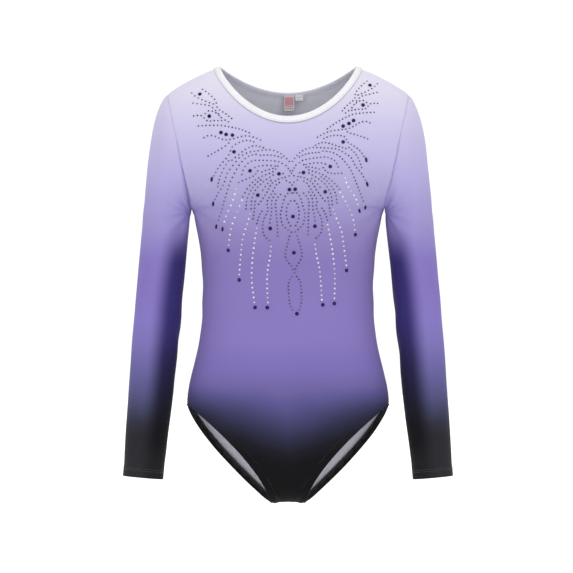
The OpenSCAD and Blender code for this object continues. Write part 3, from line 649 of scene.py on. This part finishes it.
# a slightly greyer copy of the binding cloth: painted shade for the binding's inside at the back
bindingInsideShade = plainKnit("bindingInsideShade", shade(238, 238, 252), sheen=0.1)
whiteThread = threadMaterial("whiteThread", shade(214, 210, 228))
darkThread = threadMaterial("darkThread", shade(34, 33, 38))
cuffThread = threadMaterial("cuffThread", shade(66, 64, 74))
greyThread = threadMaterial("greyThread", shade(236, 235, 240))
lilacThread = threadMaterial("lilacThread", shade(188, 182, 214))
neckElasticMaterial = elasticMaterial("whiteElastic", shade(228, 228, 224))
legElasticMaterial = elasticMaterial("blackElastic", shade(40, 39, 42))
labelCloth = labelMaterial("labelSatin", shade(226, 218, 220), shade(222, 92, 128), shade(98, 96, 92), (0.0075, 0.0178, 0.0012, 0.0118), (0.0016, 0.0066, 0.0114))
tabCloth = labelMaterial("tabSatin", shade(236, 235, 240), None, shade(140, 140, 148), None, (0.0014, 0.0062, 0.0082))
hematite = stoneMaterial("hematiteCrystal", shade(52, 48, 66), shade(120, 116, 138), 0.35, 0.18, 0.3)
clearGlass = stoneMaterial("clearCrystal", shade(206, 200, 218), shade(252, 250, 252), 0.25, 0.08, 0.6)
violetGlass = stoneMaterial("violetCrystal", shade(14, 6, 66), shade(34, 18, 106), 0.0, 0.1, 0.04, 0.22)
print("materials ready")

# front and back panels
panels = {"columns": 120, "rows": 170, "thickness": 0.8, "frontFlat": (0.33, 0.60), "backFlat": (0.34, 0.63)}


def bodyAxis(z):
    return Vector((0, 0, z))


def rumple(x, z, seed, size=38.0):
    return noise.noise(Vector((x / size, z / size, seed)))


def panelPuff(side):
    def puff(s, t, p):
        x, z = abs(p.x), p.z
        lift = 0.0
        # creases that run from the underarm over the chest
        away = math.hypot(x - 120, z + 176)
        turn = math.atan2(z + 176, 120 - x)
        lift += 0.9 * math.sin(9 * turn + 0.7 * side) * smooth((78 - away) / 60) * smooth(away / 14)
        # slack over the waist
        lift += 0.55 * math.sin((z + 0.25 * x) / 7.5) * hump(z, -286, 36) * smooth((x - 50) / 45)
        lift += 0.5 * rumple(p.x, z, 3.1 * side)
        # the leg elastic draws the edge in
        if z < cut["hipZ"] + 24:
            edge = legX(min(z, cut["hipZ"]), side) - x
            lift += 0.35 * math.sin((z - 0.8 * x) / 2.6) * hump(edge, 9, 6)
        # seams pull the cloth down in a fine groove
        sideGap = (1 - abs(2 * s - 1)) * 110
        if z > cut["hipZ"]:
            lift -= 0.8 * math.exp(-(sideGap / 2.2) ** 2)
        if x > cut["neckHalf"]:
            lift -= 0.6 * math.exp(-((ridgeZ(x) - z) / 1.6) ** 2)
        return lift
    return puff


def panelPaint(side):
    def paint(s, t, p):
        x = abs(p.x)
        sink = 32 * (x / 93) ** 1.2 * smooth((-385 - p.z) / 60)
        mottle = 2.2 * rumple(p.x, p.z, 8.3 + side, 26)
        # painted shadow: the thin dark line the binding's seam throws on the print
        under = (necklineZ(x, side) - p.z) if x < cut["neckHalf"] else 99
        return clamp((-p.z + sink + mottle) / dyeSpan), 0.42 * math.exp(-(under / 1.7) ** 2)
    return paint


def makePanel(name, side, flat):
    bm = clothGrid(panels["columns"], panels["rows"], lambda s, t: panelPoint(2 * s - 1, 1 - t, side), flat, bodyAxis,
                   panelPuff(side), panelPaint(side))
    obj = toObject(name, bm, [bodyKnit, knitReverse])
    return solidify(obj, panels["thickness"], 1)


frontPanel = makePanel("frontPanelCloth", -1, panels["frontFlat"])
backPanel = makePanel("backPanelCloth", 1, panels["backFlat"])
for piece, old in ((frontPanel, "front_panel"), (backPanel, "back_panel")):
    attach(piece, "torso")
    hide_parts(old)
print("panels laid out")

# sleeves
arms = {"around": 72, "rows": 150, "thickness": 0.8, "flat": (0.25, 0.50), "bendAngle": 15, "bendFrom": 20, "bendTo": 50, "tuck": 2.2}
holeOut, holeDown = Vector((0.9776, 0, -0.2103)), Vector((-0.2103, 0, -0.9776))


def bendWith(obj):
    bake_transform(obj)


def sleevePuff(side):
    def puff(s, t, p):
        row = 1 - t
        across = (1 - math.cos(math.pi + 2 * math.pi * s)) / 2  # 0 outside, 1 at the underarm
        lift = 0.0
        # folds that fan out of the underarm
        away = math.hypot(p.x - 124, p.z + 182)
        turn = math.atan2(p.x - 124, -182 - p.z)
        lift += 1.1 * math.sin(10 * turn + side) * smooth((75 - away) / 55) * smooth(away / 12)
        lift += 0.7 * math.sin((p.z + 1.4 * p.y) / 9 + side) * hump(p.z, -330, 45) * across
        lift += 0.7 * rumple(p.x * 1.3 + p.y, p.z * 0.6, 5.5 * side, 26)
        lift *= smooth((p.z + 508) / 30)
        # the turned hem shows as a slight step
        lift += 0.3 * smooth((-502 - p.z) / 2.5)
        if row < 0.05:
            lift -= 0.7 * math.exp(-(row * 360 / 1.8) ** 2)
        return lift
    return puff


def sleevePaint(s, t, p):
    inner = (1 + math.cos(2 * math.pi * s)) / 2  # 1 on the side that faces the body
    mottle = 2.5 * rumple(p.x + p.y, p.z, 2.4, 24)
    # the side facing the body gets the inner airbrush: print with painted shade in it, fading near the cuffs
    cover = smooth((-188 - p.z) / 62) * (1 - 0.35 * smooth((-470 - p.z) / 30))
    edge = mix(0.42, 0.34, smooth((-200 - p.z) / 100))
    brushAndShade = smooth((inner - edge) / 0.42) * cover
    return clamp((-p.z + mottle) / dyeSpan), 0.93 * brushAndShade


def tuckedSleeve(turn, row):
    # the sleeve's raw edge runs a little way under the panels, so the armhole seam stays shut
    tuck = (1 - smooth(row / 0.014)) * smooth(min(turn, 1 - turn) / 0.1)
    p = sleevePoint(turn, row) - arms["tuck"] * tuck * holeOut
    p.y *= 1 - 0.014 * tuck
    return p


def makeSleeve(name, side):
    bm = clothGrid(arms["around"], arms["rows"], lambda s, t: tuckedSleeve(s, 1 - t), arms["flat"], sleeveMiddle,
                   sleevePuff(side), sleevePaint, mirrored=side < 0)
    obj = toObject(name, bm, [sleeveKnit, knitReverse])
    solidify(obj, arms["thickness"], 1, even=False)
    bendWith(obj)
    return obj


for side, word in ((1, "left"), (-1, "right")):
    makeSleeve(word + "SleeveCloth", side)
    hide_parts(word + "_sleeve")
print("sleeves laid out")

# cuffs: the hem turned up inside, and two rows of stitching outside
cuff = {"hem": 12, "outer": 25.5, "wall": 0.8, "rows": (11.0, 8.6), "pitch": 2.6, "segments": 72}


def cuffFrames(back, radius, steps=96):
    middle = Vector((184.089, 0, -518.567)) - back * armAxis
    made = []
    for k in range(steps):
        a = 2 * math.pi * k / steps
        out = math.cos(a) * armAcross + math.sin(a) * Vector((0, 1, 0))
        tangent = -math.sin(a) * armAcross + math.cos(a) * Vector((0, 1, 0))
        made.append((middle + radius * out, -armAxis, out, tangent))
    return made


for side, word in ((1, "left"), (-1, "right")):
    body = word + "_arm"
    section = [(0.3, -0.1), (-0.25, -0.5), (-0.35, -1.0), (-0.1, -1.45), (0.6, -1.65), (3, -1.6), (8, -1.5), (11.2, -1.45), (11.9, -1.3)]
    ring = cuffFrames(0, cuff["outer"] + 0.1, cuff["segments"])
    bm = sweptBmesh(ring, section, True, False, mirrored=side < 0)
    flip = Vector((side, 1, 1))
    bm.normal_update()
    lookIn = sum((f.calc_center_median() - Vector((184 * side, 0, f.calc_center_median().z))).dot(f.normal) for f in bm.faces)
    if lookIn > 0:
        bmesh.ops.reverse_faces(bm, faces=bm.faces[:])
    hem = solidify(toObject(word + "CuffHemCloth", bm, [blackKnit]), 0.5)
    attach(hem, body)
    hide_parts(word + "_cuff_hem")
    runs = []
    for back in cuff["rows"]:
        runs += stitchRow(cuffFrames(back, cuff["outer"] + 0.45), 0, 0.12, cuff["pitch"], 0.82, True)
    rows = threads(word + "CuffStitches", runs, 0.19, cuffThread, 0, mirrored=side < 0)
    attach(rows, body)
    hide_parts(word + "_cuff_stitching")
    looper = zigzag(cuffFrames(9.8, cuff["outer"] - 2.2), -1.3, 1.3, 0, 2.4, True)
    inside = threads(word + "CuffLooperThread", [looper], 0.16, cuffThread, 0, closed=True, mirrored=side < 0)
    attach(inside, body)
print("cuffs turned")

# neckline
neck = {"steps": 220, "width": 8.4, "thick": 1.15, "stitchInset": 1.5, "pitch": 2.5}


def neckSeamPoint(a):
    side = -1 if a < math.pi else 1
    x = cut["neckHalf"] * math.cos(a)
    return bodyPoint(x, necklineZ(x, side), side)


def neckEdgePoint(a):
    side = -1 if a < math.pi else 1
    half = cut["neckHalf"] - 0.95 * neck["width"]
    top = ridgeZ(half)
    drop = (cut["frontNeck"] if side < 0 else cut["backNeck"]) - neck["width"]
    z = top - (top + drop) * abs(math.sin(a)) ** (2 * (0.8 if side < 0 else 1))
    return bodyPoint(half * math.cos(a), z, side)


angles = [2 * math.pi * (k + 0.5) / neck["steps"] for k in range(neck["steps"])]
neckFrames = frames([neckSeamPoint(a) for a in angles], [neckEdgePoint(a) for a in angles], True)
w, h = neck["width"], neck["thick"]
bandSection = [
    (0.0, 0.55), (0.2, 0.86 * h), (0.7, h), (1.15, 0.98 * h), (1.5, 0.72 * h), (1.85, 0.98 * h), (2.6, 1.06 * h), (0.6 * w, 1.1 * h), (w - 1.4, 1.04 * h),
    (w - 0.5, 0.84 * h), (w - 0.1, 0.4 * h), (w, 0), (w - 0.1, -0.4 * h), (w - 0.5, -0.84 * h), (w - 1.4, -1.04 * h), (0.6 * w, -1.1 * h),
    (2.4, -1.0 * h), (1.4, -0.7 * h), (0.5, -h), (0.0, -0.9 * h),
]
bm = sweptBmesh(neckFrames, bandSection, True, True)
# back binding faces that look into the garment take the greyer copy: painted shade
for face in bm.faces:
    middle = face.calc_center_median()
    face.material_index = 1 if middle.y > 8 and face.normal.y < -0.25 else 0
binding = toObject("neckBindingBand", bm, [bindingKnit, bindingInsideShade])
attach(binding, "torso")
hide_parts("neck_binding")

runs = stitchRow(neckFrames, neck["stitchInset"], 0.95, neck["pitch"], 0.8, True)
neckStitches = threads("neckStitches", runs, 0.17, whiteThread, 0)
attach(neckStitches, "torso")
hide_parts("neck_stitching")
nodes["neck_elastic"].data.materials.clear()
nodes["neck_elastic"].data.materials.append(neckElasticMaterial)
print("neckline bound")

# leg openings: elastic turned in under a zigzag
leg = {"steps": 170, "hem": 10.6, "zigLow": 8.4, "zigHigh": 10.6, "pitch": 2.6}


def legEdge(s, side):
    z = mix(cut["hipZ"], cut["crotchZ"], math.sin(math.pi / 2 * clamp(s)) ** 2)
    return Vector((min(legX(z, side), wallX(z)), z))


def legPoint(s, side, inset):
    p = legEdge(s, side)
    t = (legEdge(s + 0.01, side) - legEdge(s - 0.01, side)).normalized()
    q = p + inset * Vector((-abs(t[1]), abs(t[0])))
    return bodyPoint(q[0], min(q[1], cut["hipZ"] + inset), side)


def legLoop(inset):
    n = leg["steps"]
    return [legPoint((k + 0.5) / n, -1, inset) for k in range(n)] + [legPoint(1 - (k + 0.5) / n, 1, inset) for k in range(n)]


legFrames = frames(legLoop(0), legLoop(8), True)
hemSection = [(0.25, -0.1), (-0.15, -0.35), (-0.45, -0.9), (-0.45, -1.5), (-0.2, -2.1), (0.4, -2.45), (1.5, -2.6), (5, -2.55), (8.6, -2.35), (9.8, -1.9), (leg["hem"], -1.35)]
for side, word in ((1, "left"), (-1, "right")):
    bm = sweptBmesh(legFrames, hemSection, True, False, mirrored=side < 0)
    bm.normal_update()
    # the turned hem looks into the body
    lookIn = sum((f.calc_center_median() - bodyAxis(f.calc_center_median().z)).dot(f.normal) for f in bm.faces)
    if lookIn > 0:
        bmesh.ops.reverse_faces(bm, faces=bm.faces[:])
    hem = solidify(toObject(word + "LegHemCloth", bm, [blackKnit]), 0.45)
    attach(hem, "torso")
    outer = zigzag(legFrames, leg["zigLow"], leg["zigHigh"], 0.16, leg["pitch"], True)
    inner = zigzag(legFrames, leg["zigLow"] - 0.2, leg["zigHigh"] + 0.4, -3.15, leg["pitch"], True)
    zig = threads(word + "LegZigzag", [outer], 0.16, darkThread, 0, closed=True, mirrored=side < 0)
    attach(zig, "torso")
    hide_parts(word + "_leg_stitching")
    back = threads(word + "LegZigzagInside", [inner], 0.38, greyThread, 0, closed=True, mirrored=side < 0)
    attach(back, "torso")
    elastic = nodes[word + "_leg_elastic"]
    elastic.data.materials.clear()
    elastic.data.materials.append(legElasticMaterial)
print("leg openings hemmed")

# overlocked seam allowances, folded back inside
seam = {"width": 6.0, "from": 1.0, "depth": -1.35, "armholeDepth": -2.6, "pitch": 2.0, "thread": 0.15}


def overlock(name, frameList, cloth, thread, body, old, closed=False, mirrored=False, bend=0):
    low, high, depth = seam["from"], seam["from"] + seam["width"], seam["depth"]
    section = [(low, depth), (low + 0.2, depth - 0.45), (mix(low, high, 0.5), depth - 0.6), (high - 0.2, depth - 0.45), (high, depth)]
    section += [(high - 0.6, depth + 0.3), (low + 0.6, depth + 0.3)]
    band = toObject(name, sweptBmesh(frameList, section, closed, True, mirrored), [cloth])
    loops = zigzag(frameList, low - 0.2, high + 0.3, depth - 0.62, seam["pitch"], closed)
    edge = threads(name + "Thread", [loops], seam["thread"], thread, 0, closed=closed, mirrored=mirrored)
    for piece in (band, edge):
        if bend:
            bendWith(piece)
        else:
            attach(piece, body)
    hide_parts(old)
    return band


def behind(path):
    return [p + Vector((0, 1, 0)) for p in path]


paleAllowance = plainKnit("paleAllowance", shade(206, 202, 220))
midAllowance = plainKnit("midAllowance", shade(150, 144, 186))
shoulderLine = [Vector((x, 0, ridgeZ(x))) for x in [mix(98, 144.7, k / 30) for k in range(31)]]
sideLine = [Vector((wallX(z), 0, z)) for z in [mix(-411, -186, k / 120) for k in range(121)]]
sleeveLine = [sleevePoint(0, mix(0.97, 0.28, k / 120)) for k in range(121)]


def inward(line, inside):
    # seam frames whose outwards side looks away from the inside
    made = frames(line, behind(line), False)
    if sum((p - inside(p.z)).dot(out) for p, _, out, _ in made) < 0:
        made = [(p, across, -out, tangent) for p, across, out, tangent in made]
    return made


for side, word in ((1, "left"), (-1, "right")):
    low = side < 0
    shoulderFrames = frames(shoulderLine, behind(shoulderLine), False)
    if shoulderFrames[0][2].z < 0:
        shoulderFrames = [(p, a, -o, t) for p, a, o, t in shoulderFrames]
    overlock(word + "ShoulderSeamOverlock", shoulderFrames, paleAllowance, lilacThread, "torso", word + "_shoulder_seam", mirrored=low)
    overlock(word + "SideSeamOverlock", inward(sideLine, bodyAxis), midAllowance, lilacThread, "torso", word + "_side_seam", mirrored=low)
    overlock(word + "SleeveSeamOverlock", inward(sleeveLine, sleeveMiddle), midAllowance, lilacThread, word + "_arm", word + "_sleeve_seam", mirrored=low, bend=side)
    band = clothGrid(96, 3, lambda a, b: sleevePoint(a, mix(0.007, 0.032, b)), (0.4, 0.006), sleeveMiddle,
                     lambda a, b, p: seam["armholeDepth"], mirrored=low)
    armholeBand = solidify(toObject(word + "ArmholeOverlock", band, [paleAllowance]), 0.7)
    loops = [sleeveInside(k / 200, 0.005 if k % 2 else 0.035, 1 - seam["armholeDepth"]) for k in range(200)]
    armholeThread = threads(word + "ArmholeOverlockThread", [loops], seam["thread"], lilacThread, 0, closed=True, mirrored=low)
    for piece in (armholeBand, armholeThread):
        bendWith(piece)
    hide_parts(word + "_armhole_seam")
print("seams overlocked")

# gusset
gusset = {"reach": 62, "margin": 10.4, "depth": 1.6, "flat": (0.055, 0.15)}


def gussetPoint(s, t):
    r = 2 * t - 1
    side = -1 if r < 0 else 1
    z = cut["crotchZ"] + gusset["reach"] * r * r
    half = max(min(legX(z, side) - gusset["margin"], 26.4), 4)
    return bodyPoint(half * (2 * s - 1), z, side)


bm = clothGrid(28, 70, gussetPoint, gusset["flat"], lambda z: Vector((0, 0, -440)), lambda s, t, p: -gusset["depth"])
gussetLining = solidify(toObject("gussetLiningCloth", bm, [blackKnit]), 0.6)
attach(gussetLining, "torso")
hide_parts("gusset_lining")
crotchLine = [Vector((x, 0, -549.8 + cut["gussetRise"] * (1 - (x / 22) ** 2))) for x in [-12 + k for k in range(25)]]
crotchFrames = [(p, Vector((0, 1, 0)), Vector((0, 0, -1)), Vector((1, 0, 0))) for p in crotchLine]
section = [(-2, -0.2), (-1.6, -0.9), (0, -1.1), (1.6, -0.9), (2, -0.2), (1.2, 0), (-1.2, 0)]
crotchBand = toObject("crotchSeamOverlock", sweptBmesh(crotchFrames, section, False, True), [blackKnit])
crotchThread = threads("crotchSeamThread", [zigzag(crotchFrames, -2.1, 2.1, -1.15, 1.8, False)], 0.15, greyThread, 0)
for piece in (crotchBand, crotchThread):
    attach(piece, "torso")
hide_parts("crotch_seam")
print("gusset lined")


# labels in the back of the neck
def makeLabel(name, old, cloth, body, curl, folded=False):
    low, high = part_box(old)
    width, height = (high.x - low.x) / mm, (high.z - low.z) / mm
    x0, y0, z1 = low.x / mm, low.y / mm, high.z / mm

    def place(s, t):
        # a folded tab runs down its front, round the fold and up behind
        share = 1 - abs(2 * t - 1) if folded else 1 - t
        bow = curl * smooth(share) * (1 - 0.3 * math.cos(2 * math.pi * s))
        behindIt = 0.35 * smooth((t - 0.46) / 0.08) if folded else 0
        return Vector((x0 + s * width, y0 + 0.2 - bow + behindIt, z1 - share * height))

    cutLength = 2 * height if folded else height
    bm = clothGrid(16, 48 if folded else 24, place, (width * mm, cutLength * mm), lambda z: Vector((x0 + width / 2, y0 + 40, z)))
    obj = solidify(toObject(name, bm, [cloth]), 0.15 if folded else 0.28)
    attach(obj, body)
    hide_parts(old)
    return obj, (width * mm, cutLength * mm)


label, labelSize = makeLabel("neckLabelTape", "neck_label", labelCloth, "label_flap", 0.7)
tab, tabSize = makeLabel("sizeTabTape", "size_tab", tabCloth, "tab_flap", 1.0, folded=True)
print("labels hung")

# crystals
random.seed(11)


def stonePlaces(old):
    # centre and long direction of each separate solid of a CAD node
    bm = bmesh.new()
    bm.from_mesh(nodes[old].data)
    bmesh.ops.remove_doubles(bm, verts=bm.verts[:], dist=1e-6)
    bm.verts.ensure_lookup_table()
    seen, places = set(), []
    for start in bm.verts:
        if start.index in seen:
            continue
        group, stack = [], [start]
        seen.add(start.index)
        while stack:
            v = stack.pop()
            group.append(v.co.copy())
            for e in v.link_edges:
                other = e.other_vert(v)
                if other.index not in seen:
                    seen.add(other.index)
                    stack.append(other)
        low = Vector(min(p[i] for p in group) for i in range(3))
        high = Vector(max(p[i] for p in group) for i in range(3))
        middle = (low + high) / 2
        far = max(group, key=lambda p: (p - middle).length)
        places.append((middle / mm, (far - middle) / mm))
    bm.free()
    return places


def cutStone(bm, tone, toneLayer, radius, rise, sides, long=1.0):
    # a flat-backed stone: girdle, a ring of crown facets, and a table on top
    made = bmesh.ops.create_cone(bm, cap_ends=True, cap_tris=False, segments=sides, radius1=radius, radius2=radius * 0.98, depth=rise * 0.22)
    verts = made["verts"]
    bmesh.ops.translate(bm, verts=verts, vec=(0, 0, rise * 0.11))
    top = max({f for v in verts for f in v.link_faces}, key=lambda f: f.calc_center_median().z)
    crown = bmesh.ops.inset_individual(bm, faces=[top], thickness=radius * 0.24)
    ring = [v for v in top.verts]
    bmesh.ops.translate(bm, verts=ring, vec=(0, 0, rise * 0.46))
    bmesh.ops.rotate(bm, verts=ring, cent=(0, 0, 0), matrix=Matrix.Rotation(math.pi / sides, 3, "Z"))
    bmesh.ops.inset_individual(bm, faces=[top], thickness=radius * 0.24)
    table = [v for v in top.verts]
    bmesh.ops.translate(bm, verts=table, vec=(0, 0, rise * 0.32))
    whole = list({v for v in verts} | set(ring) | set(table))
    for v in whole:
        v[toneLayer] = tone
    if long != 1.0:
        for v in whole:
            v.co.y *= long
            v.co.x *= 1 - 0.28 * abs(v.co.y / (radius * long)) ** 2
    return whole


def makeStones(name, old, radius, rise, sides, material, long=1.0, spread=0.35):
    bm = bmesh.new()
    tone = bm.verts.layers.float.new("stoneTone")
    puff = panelPuff(-1)
    for middle, reach in stonePlaces(old):
        x, z = middle.x, middle.z
        out = bodyNormal(x, z, -1)
        base = Vector((x, bodyY(x, z, -1), z))
        base += out * (puff(0.5, 0.5, base) - 0.05)
        side = reach - reach.dot(out) * out
        if long == 1.0:
            side = Vector((random.uniform(-1, 1), 0, random.uniform(-1, 1)))
            side -= side.dot(out) * out
        yAxis = side.normalized()
        tilt = Vector((random.uniform(-1, 1), random.uniform(-1, 1), random.uniform(-1, 1))) * 0.05
        zAxis = (out + tilt).normalized()
        xAxis = yAxis.cross(zAxis).normalized()
        yAxis = zAxis.cross(xAxis)
        turn = Matrix((xAxis, yAxis, zAxis)).transposed().to_4x4()
        whole = cutStone(bm, random.uniform(0.5 - spread, 0.5 + spread), tone, radius, rise, sides, long)
        bmesh.ops.transform(bm, matrix=Matrix.Translation(base) @ turn, verts=whole)
    bmesh.ops.recalc_face_normals(bm, faces=bm.faces[:])
    obj = toObject(name, bm, [material], False)
    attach(obj, "torso")
    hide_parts(old)
    return obj


makeStones("smallDarkCrystals", "dark_crystals", 1.1, 0.95, 8, hematite, spread=0.5)
makeStones("clearCrystalDrops", "clear_crystals", 1.35, 1.1, 8, clearGlass, spread=0.5)
makeStones("violetRounds", "round_stones", 2.45, 1.9, 10, violetGlass, spread=0.2)
makeStones("violetNavettes", "navette_stones", 1.75, 1.4, 10, violetGlass, long=2.05, spread=0.2)
print("crystals set")

# studio
studio = {"floorZ": -0.72, "size": 40, "world": 0.8, "paper": 1.05, "key": 10, "fill": 6, "top": 3}


def stagePlane(name, location, turn, size, material):
    bm = bmesh.new()
    bmesh.ops.create_grid(bm, x_segments=1, y_segments=1, size=size / 2)
    bmesh.ops.rotate(bm, verts=bm.verts[:], cent=(0, 0, 0), matrix=Matrix.Rotation(turn, 3, "X"))
    bmesh.ops.translate(bm, verts=bm.verts[:], vec=location)
    mesh = bpy.data.meshes.new(name)
    bm.to_mesh(mesh)
    bm.free()
    mesh.materials.append(material)
    obj = bpy.data.objects.new(name, mesh)
    bpy.context.scene.collection.objects.link(obj)


def paperMaterial(name):
    material, tree, bsdf = newMaterial(name)
    place = node(tree, "TexCoord").outputs["Object"]
    grain = node(tree, "TexNoise", {"Vector": place, "Scale": 3, "Detail": 2}).outputs[0]
    tree.links.new(blendColour(tree, grain, (0.93, 0.93, 0.93, 1), (0.96, 0.96, 0.96, 1)), bsdf.inputs["Base Color"])
    bsdf.inputs["Roughness"].default_value = 0.9
    bsdf.inputs["Emission Color"].default_value = (1, 1, 1, 1)
    seen = node(tree, "LightPath").outputs["Is Camera Ray"]
    tree.links.new(maths(tree, "MULTIPLY", seen, 0.6), bsdf.inputs["Emission Strength"])
    return material


stagePlane("studioFloor", (0, 0, studio["floorZ"]), 0, studio["size"], paperMaterial("floorPaper"))


def softBox(name, location, size, power):
    data = bpy.data.lights.new(name, "AREA")
    data.shape = "RECTANGLE"
    data.size, data.size_y = size
    data.energy = power
    lamp = bpy.data.objects.new(name, data)
    bpy.context.scene.collection.objects.link(lamp)
    lamp.visible_camera = False
    lamp.location = location
    lamp.rotation_euler = (Vector((0, 0, -0.28)) - Vector(location)).to_track_quat("-Z", "Y").to_euler()


softBox("keyBox", (1.3, -2.3, 0.9), (1.5, 1.8), studio["key"])
softBox("fillBox", (-1.7, -2.0, 0.2), (1.6, 2.0), studio["fill"])
softBox("topBox", (0, 0.2, 1.9), (2.2, 2.2), studio["top"])
world = bpy.data.worlds.new("studioWorld")
world.use_nodes = True
background = world.node_tree.nodes["Background"]
background.inputs["Color"].default_value = (1, 1, 1, 1)
seen = node(world.node_tree, "LightPath").outputs["Is Camera Ray"]  # the paper backdrop looks white without lighting the garment flat
strength = maths(world.node_tree, "MULTIPLY_ADD", seen, studio["paper"] - studio["world"], studio["world"])
world.node_tree.links.new(strength, background.inputs["Strength"])
bpy.context.scene.world = world
bpy.context.scene.view_settings.view_transform = "Standard"
print("studio set")
